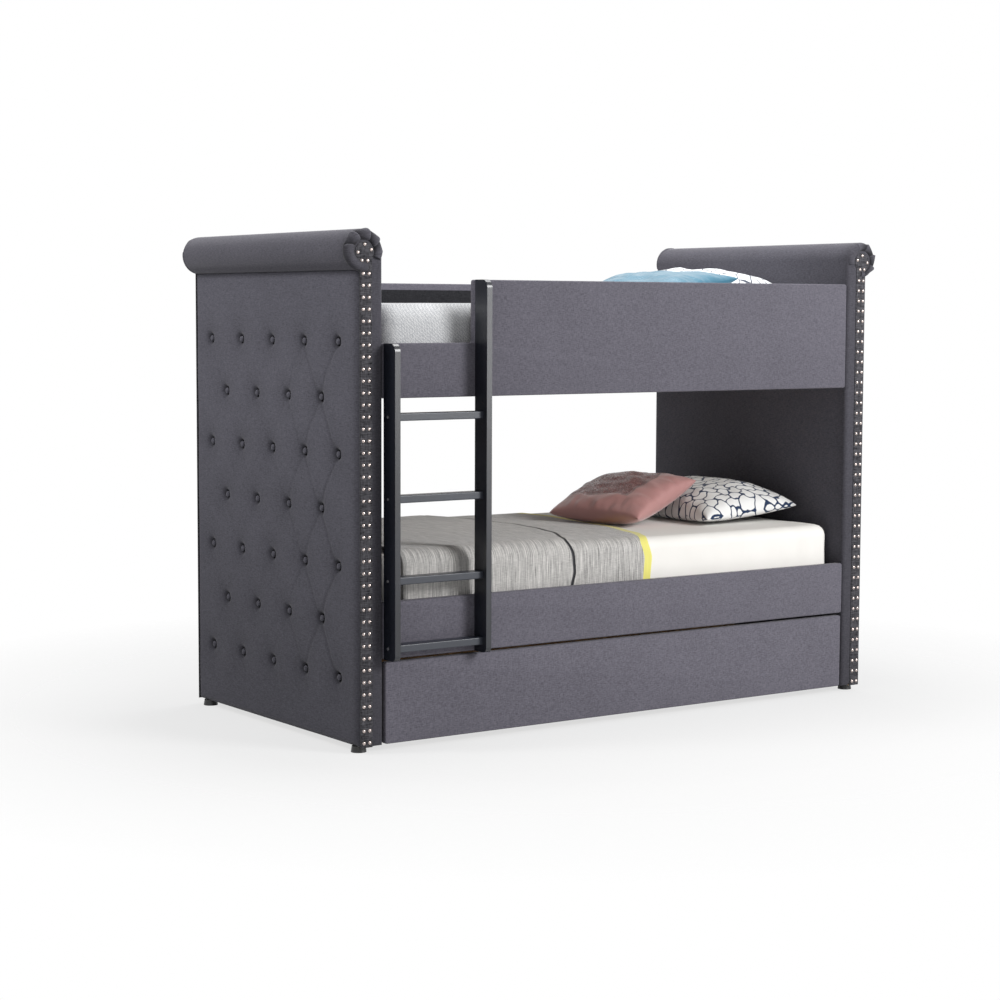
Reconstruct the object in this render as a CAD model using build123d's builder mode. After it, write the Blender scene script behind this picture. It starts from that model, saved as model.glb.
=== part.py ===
from build123d import *
from math import cos, pi, radians, sin
import os

# Bunk bed with trundle, in millimetres.
# X runs along the bed, the ladder side is -Y, the floor is Z = 0.
# Pieces are drawn about the middle of the end panels. Each one is then moved
# so that the origin lies under the middle of the whole bed, ladder included.

# Overall sizes
overall_length = 2246.0
end_depth = 1103.0
overall_height = 1640.0

# End panels, measured outwards from the mattress side
scroll_overhang = 51.0
facing_width = 44.0
inner_pad_thickness = 41.0
outer_pad_thickness = 14.0
facing_thickness = 6.0
foot_height = 20.0
foot_radius = 25.0
foot_top_radius = 22.0
foot_inset = 50.0
soft_gap = 0.3

# Scroll at the top of each end
scroll_radius = 64.0
scroll_inner_reach = 72.0
scroll_block_radius = 38.0
scroll_end_setback = 18.5
facing_head_radius = 35.0
facing_head_drop = 9.0
facing_head_shift = 4.0
band_setback = 2.5
band_round = 16.0
band_top_drop = 46.0

# Pleats that close each scroll end
pleat_count = 11
pleat_depth = 4.0
pleat_height = 17.0
pleat_front_radius = 47.0
pleat_shoulder_radius = 60.0
pleat_shoulder_height = 11.0
pleat_open_start = 222.0
pleat_open_end = 292.0

# Buttons drawn into the outer pad
tuft_row_pitch = 177.7
tuft_column_pitch = 212.0
tuft_rows = 7
tuft_long_row = 5
tuft_top = 1291.0
tuft_shift_back = 20.0
dimple_radius = 34.0
dimple_floor_radius = 13.0
dimple_depth = 9.0
button_radius = 11.5
button_height = 6.0
button_taper = 18.0
dimple_sides = 12
button_sides = 10

# Nail heads on the front facings
nail_rows = 40
nail_bottom = 35.0
nail_top = 1502.0
nail_first_pitch = 36.6
nail_spacing = 21.0
nail_radius = 5.75
nail_height = 3.2
nail_taper = 38.0
nail_sides = 8
nail_ring_radius = 25.0
nail_ring_angles = (90.0, 0.0, 160.0)

# Upholstered boards
board_thickness = 28.0
board_cover = 4.0
board_recess = 6.0
board_corner = 8.0
cover_round = 3.0
upper_board_bottom = 1115.0
upper_rail_top = 1287.0
guard_top = 1488.0
lower_board_bottom = 293.0
lower_board_top = 475.0
guard_start = 639.0
lining_thickness = 1.0
lining_top_drop = 24.0
lining_rise = 8.0

# Slats and ledgers
slat_count = 14
slat_width = 70.0
slat_thickness = 18.0
ledger_width = 25.0
ledger_height = 30.0
ledger_end_gap = 45.0
upper_slat_rise = 90.0
lower_slat_rise = 112.0
slat_end_margin = 60.0

# Mattresses and bedding
mattress_length = 1905.0
mattress_width = 990.0
mattress_thickness = 205.0
mattress_round = 55.0
sheet_thickness = 1.5
sheet_tuck = 30.0
blanket_thickness = 4.0
blanket_hem = 440.0
blanket_edge_shares = (-1.0, -0.88, -0.7, -0.4, 0.1, 0.8, 1.0)
blanket_right = (128.0, 140.0, 212.0, 271.0, 295.0, 293.0, 257.0)
blanket_fold_right = (-192.0, -165.0, -105.0, -66.0, -68.0, -62.0, -80.0)

# Pillows: length along X, width along Y, thickness
pillow_draw = 22.0
pillow_rise_shares = (-1.0, -0.68, 0.0, 0.68, 1.0)
pillow_outline_shares = (0.36, 0.8, 1.0, 0.8, 0.36)
print_pillow_length = 415.0
print_pillow_width = 680.0
print_pillow_thickness = 140.0
rose_pillow_size = 400.0
rose_pillow_thickness = 120.0
blue_pillow_size = 455.0
blue_pillow_thickness = 112.0

# Places of the pillows: X, Y and their lean and turn in degrees
print_lean = 3.0
lower_print_place = (757.0, 0.0, print_lean, 0.0)
upper_print_place = (772.0, 100.0, print_lean, 0.0)
rose_place = (385.0, -13.0, 17.5, 17.0)
blue_place = (395.0, -160.0, 14.0, 17.0)
flat_seam = -0.25
leaning_seam = 0.0

# Ladder
stile_thickness = 20.0
stile_depth = 68.0
stile_gap_to_end = 3.0
ladder_clear_width = 325.0
stile_top_round = 26.0
stile_bottom_round = 18.0
rung_heights = (1058.0, 801.0, 544.0, 330.0)
rung_thickness = 24.0
rung_depth = 46.0
rung_setback = 20.5
rung_round = 3.0
screw_radius = 4.5
screw_head = 1.5
screw_sides = 10
bolt_radius = 8.0
bolt_head = 4.0
bolt_sides = 6
bolt_bottom_margin = 20.0
bolt_top_margin = 22.0

# Rail brackets
bracket_thickness = 3.0
bracket_leg = 38.0
bracket_height = 64.0
bracket_rise = 30.0
bracket_bolt_radius = 6.0
bracket_bolt_head = 3.5

# Trundle
trundle_side_gap = 7.0
trundle_front_bottom = 23.0
trundle_front_top = 284.0
trundle_front_recess = 2.5
trundle_depth = 1035.0
tray_board = 18.0
tray_board_inset = 12.0
tray_bottom = 60.0
tray_top = 185.0
tray_slat_top = 112.0
tray_slat_count = 12
tray_slat_width = 60.0
tray_slat_margin = 8.0
bearer_width = 60.0
bearer_inset = 100.0

# Casters
wheel_radius = 25.0
wheel_width = 21.0
wheel_tread_round = 3.0
hub_radius = 9.0
hub_recess = 2.0
wheel_rim = 6.0
axle_radius = 4.0
axle_play = 0.06
axle_head_radius = 6.5
axle_head = 2.5
fork_gap = 1.2
fork_head_room = 4.5
fork_plate = 2.5
fork_cheek_width = 30.0
fork_plate_length = 62.0
fork_plate_width = 44.0
caster_front_inset = 110.0
caster_back_inset = 90.0

# Places worked out from the sizes above
half_length = overall_length / 2
half_depth = end_depth / 2
outer_face = half_length - scroll_overhang
facing_inner = outer_face - facing_width
inner_face = facing_inner - inner_pad_thickness
outer_pad_inner = outer_face - outer_pad_thickness
core_front = half_depth - facing_thickness
scroll_x = half_length - scroll_radius
scroll_z = overall_height - scroll_radius
facing_middle = (outer_face + facing_inner) / 2
head_x = scroll_x - facing_head_shift
head_z = scroll_z - facing_head_drop
scroll_end = half_depth - scroll_end_setback
band_front = half_depth - band_setback
board_front = half_depth - board_recess
board_inner = board_front - board_thickness
board_half = inner_face - soft_gap
upper_slat_top = upper_board_bottom + upper_slat_rise
lower_slat_top = lower_board_bottom + lower_slat_rise
trundle_front = half_depth - trundle_front_recess
trundle_inner = trundle_front - board_thickness
trundle_half = inner_face - trundle_side_gap
tray_half = trundle_half - tray_board_inset
tray_back = trundle_depth - trundle_front
tray_rear_inner = tray_back - tray_board
caster_x = tray_half - bearer_inset
caster_front_y = trundle_front - caster_front_inset
caster_back_y = tray_back - caster_back_inset
bearer_bottom = 2 * wheel_radius + fork_head_room + fork_plate
ladder_proud = stile_depth - board_recess

sides = {"left": -1, "right": 1}
os.makedirs("parts", exist_ok=True)


def save(shape, name):
    """Move a finished piece to its place over the origin and write it."""
    piece = shape.moved(Location((0, ladder_proud / 2, 0)))
    piece.label = name
    export_step(piece, f"parts/{name}.step")


def facing_outline(side, grow=0.0):
    """Straight nail strip that ends in the round scroll head."""
    with BuildSketch(Plane.XZ) as outline:
        strip_height = head_z - foot_height
        with Locations((side * facing_middle, foot_height + strip_height / 2)):
            Rectangle(facing_width + 2 * grow, strip_height)
        with Locations((side * head_x, head_z)):
            Circle(facing_head_radius + grow)
    return outline.sketch


def core_outline(side, grow=0.0):
    """Timber panel whose top carries the round block of the scroll."""
    with BuildSketch(Plane.XZ) as outline:
        panel_width = outer_pad_inner - facing_inner + 2 * grow
        panel_height = scroll_z - foot_height
        middle = side * (outer_pad_inner + facing_inner) / 2
        with Locations((middle, foot_height + panel_height / 2)):
            Rectangle(panel_width, panel_height)
        with Locations((side * scroll_x, scroll_z)):
            Circle(scroll_block_radius + grow)
    return outline.sketch


def end_core(side):
    with BuildPart() as core:
        with BuildSketch(Plane.XZ.offset(-core_front)):
            add(core_outline(side))
        extrude(amount=2 * core_front)
    return core.part


def inner_pad(side):
    """Pad that rises on the mattress side and rolls outwards over the top."""
    with BuildPart() as pad:
        with BuildSketch(Plane.XZ.offset(-scroll_end)):
            with BuildLine():
                foot = (side * inner_face, foot_height)
                shoulder = (side * inner_face, scroll_z)
                crest = (side * scroll_x, overall_height)
                tail = (side * scroll_x, scroll_z - scroll_radius)
                Line(foot, shoulder)
                lean_x = side * (scroll_x - scroll_inner_reach * cos(pi / 4))
                lean_z = scroll_z + scroll_radius * sin(pi / 4)
                ThreePointArc(shoulder, (lean_x, lean_z), crest)
                ThreePointArc(crest, (side * half_length, scroll_z), tail)
                heel = (side * facing_inner, scroll_z - scroll_radius)
                Polyline(tail, heel, (side * facing_inner, foot_height), foot)
            make_face()
            add(core_outline(side), mode=Mode.SUBTRACT)
        extrude(amount=2 * scroll_end)
        band_height = scroll_z - band_top_drop - foot_height
        middle = side * (inner_face + facing_inner) / 2
        with BuildSketch(Plane.XY.offset(foot_height)):
            with Locations((middle, 0)):
                RectangleRounded(inner_pad_thickness, 2 * band_front, band_round)
            with Locations((side * (facing_inner - band_round / 2), 0)):
                Rectangle(band_round, 2 * core_front)
        extrude(amount=band_height)
    return pad.part


def tuft_spots():
    """Rows of buttons, long and short by turns, from the top down."""
    spots = []
    for row in range(tuft_rows):
        count = tuft_long_row - row % 2
        height = tuft_top - row * tuft_row_pitch
        first = tuft_shift_back - (count - 1) * tuft_column_pitch / 2
        spots += [(first + k * tuft_column_pitch, height) for k in range(count)]
    return spots


def outer_plane(side, depth):
    """Plane at a depth under the outer face, looking outwards."""
    return Plane(
        origin=(side * (outer_face - depth), 0, 0),
        x_dir=(0, 1, 0),
        z_dir=(side, 0, 0),
    )


def outer_pad(side):
    """Tufted pad with one tapered dimple under each button."""
    with BuildPart() as dimple:
        with BuildSketch(outer_plane(side, dimple_depth)):
            RegularPolygon(dimple_floor_radius, dimple_sides)
        with BuildSketch(outer_plane(side, 0)):
            RegularPolygon(dimple_radius, dimple_sides)
        loft(ruled=True)
    with BuildPart() as pad:
        pad_top = scroll_z - scroll_radius
        with BuildSketch(outer_plane(side, outer_pad_thickness)):
            with Locations((0, side * (foot_height + pad_top) / 2)):
                Rectangle(2 * core_front, pad_top - foot_height)
        extrude(amount=outer_pad_thickness)
        with Locations(*[(0, y, z) for y, z in tuft_spots()]):
            add(dimple.part, mode=Mode.SUBTRACT)
    return pad.part


def tuft_buttons(side):
    with BuildPart() as buttons:
        with BuildSketch(outer_plane(side, dimple_depth)):
            with Locations(*[(y, side * z) for y, z in tuft_spots()]):
                RegularPolygon(button_radius, button_sides)
        extrude(amount=button_height, taper=button_taper)
    return buttons.part


def facing(side, front):
    with BuildPart() as strip:
        with BuildSketch(Plane.XZ.offset(front * core_front)):
            add(facing_outline(side))
        extrude(amount=front * facing_thickness)
    return strip.part


def star(side, radius, pleats, depth):
    """Closed outline of the gathered cloth, tips and creases by turns."""
    points = []
    for k in range(2 * pleats):
        angle = pi * k / pleats + pi / 2
        reach = radius if k % 2 else radius - depth
        stretch = scroll_inner_reach / scroll_radius if cos(angle) < 0 else 1
        x = scroll_x + reach * stretch * cos(angle)
        points.append((side * x, scroll_z + reach * sin(angle)))
    with BuildSketch(Plane.XZ) as outline:
        with BuildLine():
            Polyline(*points, close=True)
        make_face()
    return outline.sketch


def pleated_ends(side):
    """Gathered cloth that closes the scroll round the facing head."""
    with BuildPart() as ring:
        layers = (
            (0, scroll_radius, pleat_depth),
            (pleat_shoulder_height, pleat_shoulder_radius, pleat_depth),
            (pleat_height, pleat_front_radius, 0),
        )
        for height, radius, depth in layers:
            with BuildSketch(Plane.XZ.offset(scroll_end + height)):
                add(star(side, radius, pleat_count, depth))
        loft(ruled=True)
        with BuildSketch(Plane.XZ.offset(scroll_end)):
            add(core_outline(side, soft_gap))
        extrude(amount=pleat_height, mode=Mode.SUBTRACT)
        with BuildSketch(Plane.XZ.offset(core_front - soft_gap)):
            add(facing_outline(side, soft_gap))
        extrude(amount=pleat_height, mode=Mode.SUBTRACT)
        with BuildSketch(Plane.XZ.offset(scroll_end)):
            with BuildLine():
                reach = 2 * scroll_radius
                edges = [radians(a) for a in (pleat_open_start, pleat_open_end)]
                spread = [
                    (side * (scroll_x + reach * cos(a)), scroll_z + reach * sin(a))
                    for a in edges
                ]
                centre = (side * scroll_x, scroll_z)
                Polyline(centre, *spread, close=True)
            make_face()
        extrude(amount=pleat_height, mode=Mode.SUBTRACT)
        mirror(about=Plane.XZ)
    return ring.part


def nail_spots(side):
    """Pairs down the strip, a little wider apart towards the floor, and the ring."""
    gaps = nail_rows - 1
    widening = (nail_top - nail_bottom - gaps * nail_first_pitch) / gaps**2
    drops = [k * nail_first_pitch + k**2 * widening for k in range(nail_rows)]
    spots = [
        (side * (facing_middle + column * nail_spacing / 2), nail_top - drop)
        for drop in drops
        for column in (-1, 1)
    ]
    lowest = head_z - nail_ring_radius
    spots += [
        (side * (head_x + column * nail_spacing / 2), lowest) for column in (-1, 1)
    ]
    for angle in nail_ring_angles:
        turn = radians(angle)
        x = head_x + nail_ring_radius * cos(turn)
        spots.append((side * x, head_z + nail_ring_radius * sin(turn)))
    return spots


def nailheads(side):
    with BuildPart() as nails:
        with BuildSketch(Plane.XZ.offset(half_depth)):
            with Locations(*nail_spots(side)):
                RegularPolygon(nail_radius, nail_sides)
        extrude(amount=nail_height, taper=nail_taper)
    return nails.part


def feet(side):
    with BuildPart() as glides:
        foot_y = half_depth - foot_inset
        spots = [(side * facing_middle, foot_y), (side * facing_middle, -foot_y)]
        for spot in spots:
            with BuildSketch(Plane.XY):
                with Locations(spot):
                    Circle(foot_radius)
            with BuildSketch(Plane.XY.offset(foot_height)):
                with Locations(spot):
                    Circle(foot_top_radius)
            loft()
    return glides.part


for side_name, side in sides.items():
    save(end_core(side), f"{side_name}_end_core")
    save(inner_pad(side), f"{side_name}_inner_pad")
    save(outer_pad(side), f"{side_name}_tufted_outer_pad")
    save(tuft_buttons(side), f"{side_name}_tuft_buttons")
    save(facing(side, 1), f"{side_name}_front_facing")
    save(facing(side, -1), f"{side_name}_rear_facing")
    save(pleated_ends(side), f"{side_name}_pleated_scroll_ends")
    save(nailheads(side), f"{side_name}_nailheads")
    save(feet(side), f"{side_name}_feet")


def rectangle_outline(left, right, bottom, top, inset=0.0):
    with BuildSketch(Plane.XZ) as outline:
        with Locations(((left + right) / 2, (bottom + top) / 2)):
            Rectangle(right - left - 2 * inset, top - bottom - 2 * inset)
        if not inset:
            fillet(outline.vertices(), board_corner)
    return outline.sketch


def guard_outline(inset=0.0):
    """Low rail at the ladder and high guard along the rest."""
    left, right = -board_half + inset, board_half - inset
    bottom = upper_board_bottom + inset
    low, high = upper_rail_top - inset, guard_top - inset
    step = -guard_start + inset
    with BuildSketch(Plane.XZ) as outline:
        with BuildLine():
            Polyline(
                (left, bottom),
                (right, bottom),
                (right, high),
                (step, high),
                (step, low),
                (left, low),
                close=True,
            )
        make_face()
        if not inset:
            fillet(outline.vertices(), board_corner)
    return outline.sketch


def board_core(outline, front, depth):
    """Timber inside the cover, given its signed front plane."""
    with BuildPart() as core:
        with BuildSketch(Plane.XZ.offset(front - depth * board_cover)):
            add(outline)
        extrude(amount=-depth * (board_thickness - 2 * board_cover))
    return core.part


def board_cover_part(outline, core, front, depth):
    with BuildPart() as cover:
        with BuildSketch(Plane.XZ.offset(front)):
            add(outline)
        extrude(amount=-depth * board_thickness)
        long_faces = cover.faces().filter_by(Axis.Y)
        fillet(long_faces.edges(), cover_round)
        add(core, mode=Mode.SUBTRACT)
    return cover.part


def upholstered_board(name, outline, inner_outline, front, depth):
    core = board_core(inner_outline, front, depth)
    save(core, f"{name}_core")
    save(board_cover_part(outline, core, front, depth), f"{name}_cover")


upper_back = (-board_half, board_half, upper_board_bottom, guard_top)
lower_board = (-board_half, board_half, lower_board_bottom, lower_board_top)
trundle_board = (-trundle_half, trundle_half, trundle_front_bottom, trundle_front_top)

upholstered_board(
    "upper_front_board", guard_outline(), guard_outline(board_cover), board_front, 1
)
upholstered_board(
    "upper_back_board",
    rectangle_outline(*upper_back),
    rectangle_outline(*upper_back, board_cover),
    -board_front,
    -1,
)
for name, front, depth in (
    ("lower_front_board", board_front, 1),
    ("lower_back_board", -board_front, -1),
):
    upholstered_board(
        name,
        rectangle_outline(*lower_board),
        rectangle_outline(*lower_board, board_cover),
        front,
        depth,
    )
upholstered_board(
    "trundle_front_board",
    rectangle_outline(*trundle_board),
    rectangle_outline(*trundle_board, board_cover),
    trundle_front,
    1,
)

with BuildPart() as guard_linings:
    lining_bottom = upper_rail_top + lining_rise
    lining_top = guard_top - lining_top_drop
    lining_height = lining_top - lining_bottom
    lining_end = board_half - board_corner
    front_left = -guard_start + board_corner
    spans = ((board_inner, 1, front_left), (-board_inner, -1, -lining_end))
    for plane_at, inward, lining_left in spans:
        with BuildSketch(Plane.XZ.offset(plane_at)):
            middle_x = (lining_left + lining_end) / 2
            with Locations((middle_x, (lining_bottom + lining_top) / 2)):
                Rectangle(lining_end - lining_left, lining_height)
        extrude(amount=-inward * lining_thickness)
save(guard_linings.part, "guard_linings")


def ledgers(slat_top, front_face, back_face, half_run):
    """Cleats on the inner faces of two boards, under the slats."""
    with BuildPart() as cleats:
        top = slat_top - slat_thickness
        for face, inward in ((-front_face, 1), (back_face, -1)):
            with BuildSketch(Plane.XY.offset(top - ledger_height)):
                with Locations((0, face + inward * ledger_width / 2)):
                    Rectangle(2 * half_run, ledger_width)
            extrude(amount=ledger_height)
    return cleats.part


def slats(slat_top, front_face, back_face, half_run, count):
    with BuildPart() as row:
        pitch = 2 * half_run / (count - 1)
        length = front_face + back_face - 2 * soft_gap
        with BuildSketch(Plane.XY.offset(slat_top - slat_thickness)):
            with Locations((0, (back_face - front_face) / 2)):
                with GridLocations(pitch, length, count, 1):
                    Rectangle(slat_width, length)
        extrude(amount=slat_thickness)
    return row.part


ledger_half = inner_face - ledger_end_gap
slat_half = mattress_length / 2 - slat_end_margin
for level, slat_top in (("upper", upper_slat_top), ("lower", lower_slat_top)):
    save(ledgers(slat_top, board_inner, board_inner, ledger_half), f"{level}_ledgers")
    row = slats(slat_top, board_inner, board_inner, slat_half, slat_count)
    save(row, f"{level}_slats")


def mattress(slat_top, grow=0.0):
    """Rounded block on the slats, grown evenly for what covers it."""
    bottom = slat_top + soft_gap - grow
    with BuildPart() as block:
        with BuildSketch(Plane.XY.offset(bottom)):
            length = mattress_length + 2 * grow
            width = mattress_width + 2 * grow
            RectangleRounded(length, width, mattress_round + grow)
        extrude(amount=mattress_thickness + 2 * grow)
        rims = block.faces().filter_by(Axis.Z).edges()
        fillet(rims, mattress_round + grow - soft_gap)
    return block.part


save(mattress(upper_slat_top), "upper_mattress")
save(mattress(lower_slat_top), "lower_mattress")

with BuildPart() as lower_sheet:
    add(mattress(lower_slat_top, soft_gap + sheet_thickness))
    add(mattress(lower_slat_top, soft_gap), mode=Mode.SUBTRACT)
    with BuildSketch(Plane.XY.offset(lower_slat_top - mattress_round)):
        Rectangle(overall_length, end_depth)
    extrude(amount=mattress_round + sheet_tuck, mode=Mode.SUBTRACT)
save(lower_sheet.part, "lower_sheet")


def blanket_layer(grow, right_edge):
    """Cloth wrapped over the mattress width, with a curved right edge."""
    half_span = mattress_width / 2 + grow
    top = lower_slat_top + soft_gap + mattress_thickness + grow
    radius = mattress_round + grow
    left_edge = -mattress_length / 2 + mattress_round
    with BuildPart() as layer:
        with BuildSketch(Plane.YZ.offset(left_edge)):
            for extra, mode in ((blanket_thickness, Mode.ADD), (0, Mode.SUBTRACT)):
                height = 2 * (top + extra - blanket_hem)
                with Locations((0, blanket_hem)):
                    width = 2 * (half_span + extra)
                    RectangleRounded(width, height, radius + extra, mode=mode)
        extrude(amount=overall_length)
        with BuildSketch(Plane.XY):
            Rectangle(2 * overall_length, end_depth)
        extrude(amount=blanket_hem, mode=Mode.SUBTRACT)
        places = [
            (x, share * half_depth) for share, x in zip(blanket_edge_shares, right_edge)
        ]
        with BuildSketch(Plane.XY):
            with BuildLine():
                far = overall_length
                Polyline(*places, (far, half_depth), (far, -half_depth), close=True)
            make_face()
        extrude(amount=overall_height, mode=Mode.SUBTRACT)
    return layer.part


base_grow = 2 * soft_gap + sheet_thickness
with BuildPart() as blanket:
    add(blanket_layer(base_grow, blanket_right))
    add(blanket_layer(base_grow + blanket_thickness, blanket_fold_right))
save(blanket.part, "blanket")


def pillow(place, rest, size, seam):
    """Crowned cushion with drawn-in sides, its seam at a share of the thickness."""
    x, y, lean, turn = place
    length, width, thickness = size
    level = Plane.XY.rotated((0, -lean, 0))
    with BuildPart() as cushion:
        for rise, outline_share in zip(pillow_rise_shares, pillow_outline_shares):
            reach = 0.5 - seam if rise > 0 else 0.5 + seam
            u = length / 2 * outline_share
            v = width / 2 * outline_share
            draw = pillow_draw * outline_share
            corners = [(-u, -v), (u, -v), (u, v), (-u, v)]
            middles = [(0, draw - v), (u - draw, 0), (0, v - draw), (draw - u, 0)]
            with BuildSketch(level.offset(thickness * (seam + rise * reach))):
                with BuildLine():
                    for k, corner in enumerate(corners):
                        ThreePointArc(corner, middles[k], corners[(k + 1) % 4])
                make_face()
        loft()
    lowest = cushion.part.bounding_box().min.Z
    return cushion.part.moved(Location((x, y, rest - lowest), (0, 0, turn)))


lower_rest = lower_slat_top + mattress_thickness + sheet_thickness + 3 * soft_gap
upper_rest = upper_slat_top + mattress_thickness + 2 * soft_gap
blanket_rest = lower_rest + blanket_thickness
print_size = (print_pillow_length, print_pillow_width, print_pillow_thickness)
rose_size = (rose_pillow_size, rose_pillow_size, rose_pillow_thickness)
blue_size = (blue_pillow_size, blue_pillow_size, blue_pillow_thickness)
lower_print = pillow(lower_print_place, lower_rest, print_size, flat_seam)
upper_print = pillow(upper_print_place, upper_rest, print_size, flat_seam)
save(lower_print, "lower_print_pillow")
save(upper_print, "upper_print_pillow")
save(pillow(rose_place, blanket_rest, rose_size, leaning_seam), "lower_rose_pillow")
save(pillow(blue_place, upper_rest, blue_size, leaning_seam), "upper_blue_pillow")


def stile(left, top):
    """Side of the ladder, with its front corners rounded."""
    height = top - lower_board_bottom
    with BuildPart() as post:
        with BuildSketch(Plane.YZ.offset(left)):
            middle = (-board_front - stile_depth / 2, lower_board_bottom + height / 2)
            with Locations(middle):
                Rectangle(stile_depth, height)
        extrude(amount=stile_thickness)
        fronts = post.edges().filter_by(Axis.X).group_by(Axis.Y)[0].sort_by(Axis.Z)
        fillet(fronts[-1], stile_top_round)
        fronts = post.edges().filter_by(Axis.X).group_by(Axis.Y)[0].sort_by(Axis.Z)
        fillet(fronts[0], stile_bottom_round)
    return post.part


left_stile_x = -inner_face + stile_gap_to_end
right_stile_x = left_stile_x + stile_thickness + ladder_clear_width
save(stile(left_stile_x, upper_rail_top), "ladder_left_stile")
save(stile(right_stile_x, guard_top), "ladder_right_stile")

rung_left = left_stile_x + stile_thickness
rung_middle_y = -board_front - stile_depth + rung_setback + rung_depth / 2
with BuildPart() as ladder_rungs:
    with BuildSketch(Plane.YZ.offset(rung_left)):
        with Locations(*[(rung_middle_y, z) for z in rung_heights]):
            RectangleRounded(rung_depth, rung_thickness, rung_round)
    extrude(amount=ladder_clear_width)
save(ladder_rungs.part, "ladder_rungs")

screw_spots = [(rung_middle_y, z) for z in rung_heights]
with BuildPart() as ladder_screws:
    with BuildSketch(Plane.YZ.offset(left_stile_x)):
        with Locations(*screw_spots):
            RegularPolygon(screw_radius, screw_sides)
    extrude(amount=-screw_head)
    with BuildSketch(Plane.YZ.offset(right_stile_x + stile_thickness)):
        with Locations(*screw_spots):
            RegularPolygon(screw_radius, screw_sides)
    extrude(amount=screw_head)
save(ladder_screws.part, "ladder_screws")

with BuildPart() as ladder_bolts:
    rails = (
        (lower_board_bottom, lower_board_top),
        (upper_board_bottom, upper_rail_top),
    )
    bolt_spots = []
    for stile_x in (left_stile_x, right_stile_x):
        x = stile_x + stile_thickness / 2
        for bottom, top in rails:
            bolt_spots.append((x, bottom + bolt_bottom_margin))
            bolt_spots.append((x, top - bolt_top_margin))
    with BuildSketch(Plane.XZ.offset(board_inner)):
        with Locations(*bolt_spots):
            RegularPolygon(bolt_radius, bolt_sides)
    extrude(amount=-bolt_head)
save(ladder_bolts.part, "ladder_bolts")


def corner_outline(side, rear):
    """Angle seen from above, one leg on the board and one on the end."""
    x = side * inner_face
    y = rear * board_inner
    leg_x, leg_y = -side * bracket_leg, -rear * bracket_leg
    wall_x, wall_y = -side * bracket_thickness, -rear * bracket_thickness
    with BuildSketch() as outline:
        with BuildLine():
            Polyline(
                (x, y),
                (x + leg_x, y),
                (x + leg_x, y + wall_y),
                (x + wall_x, y + wall_y),
                (x + wall_x, y + leg_y),
                (x, y + leg_y),
                close=True,
            )
        make_face()
    return outline.sketch


corners = [(side, rear) for side in (-1, 1) for rear in (-1, 1)]
bracket_bottoms = (
    lower_board_bottom + bracket_rise,
    upper_board_bottom + bracket_rise,
)
with BuildPart() as rail_brackets:
    for bottom in bracket_bottoms:
        for side, rear in corners:
            with BuildSketch(Plane.XY.offset(bottom)):
                add(corner_outline(side, rear))
            extrude(amount=bracket_height)
save(rail_brackets.part, "rail_brackets")

with BuildPart() as rail_bolts:
    leg_middle = (bracket_leg + bracket_thickness) / 2
    for bottom in bracket_bottoms:
        z = bottom + bracket_height / 2
        for side, rear in corners:
            on_board = Plane(
                origin=(
                    side * (inner_face - leg_middle),
                    rear * (board_inner - bracket_thickness),
                    z,
                ),
                z_dir=(0, -rear, 0),
            )
            on_end = Plane(
                origin=(
                    side * (inner_face - bracket_thickness),
                    rear * (board_inner - leg_middle),
                    z,
                ),
                z_dir=(-side, 0, 0),
            )
            for place in (on_board, on_end):
                with BuildSketch(place):
                    RegularPolygon(bracket_bolt_radius, bolt_sides)
                extrude(amount=bracket_bolt_head)
save(rail_bolts.part, "rail_bolts")


def block(x_span, y_span, z_span):
    """Plain board between two places along each axis."""
    with BuildPart() as board:
        with BuildSketch(Plane.XY.offset(z_span[0])):
            with Locations((sum(x_span) / 2, sum(y_span) / 2)):
                Rectangle(x_span[1] - x_span[0], y_span[1] - y_span[0])
        extrude(amount=z_span[1] - z_span[0])
    return board.part


tray_height = (tray_bottom, tray_top)
back_board = block((-tray_half, tray_half), (tray_rear_inner, tray_back), tray_height)
save(back_board, "trundle_back_board")
tray_run = (-trundle_inner, tray_rear_inner)
tray_inner = tray_half - tray_board
left_board = block((-tray_half, -tray_inner), tray_run, tray_height)
right_board = block((tray_inner, tray_half), tray_run, tray_height)
save(left_board, "trundle_left_board")
save(right_board, "trundle_right_board")

with BuildPart() as trundle_bearers:
    with BuildSketch(Plane.XY.offset(bearer_bottom)):
        with Locations((0, sum(tray_run) / 2)):
            with GridLocations(2 * caster_x, 0, 2, 1):
                Rectangle(bearer_width, tray_run[1] - tray_run[0])
    extrude(amount=tray_slat_top - slat_thickness - bearer_bottom)
save(trundle_bearers.part, "trundle_bearers")

with BuildPart() as trundle_slats:
    slat_room = tray_run[1] - tray_run[0] - tray_slat_width - 2 * tray_slat_margin
    with BuildSketch(Plane.XY.offset(tray_slat_top - slat_thickness)):
        with Locations((0, sum(tray_run) / 2)):
            with GridLocations(0, slat_room / (tray_slat_count - 1), 1, tray_slat_count):
                Rectangle(2 * (tray_inner - soft_gap), tray_slat_width)
    extrude(amount=slat_thickness)
save(trundle_slats.part, "trundle_slats")

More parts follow.
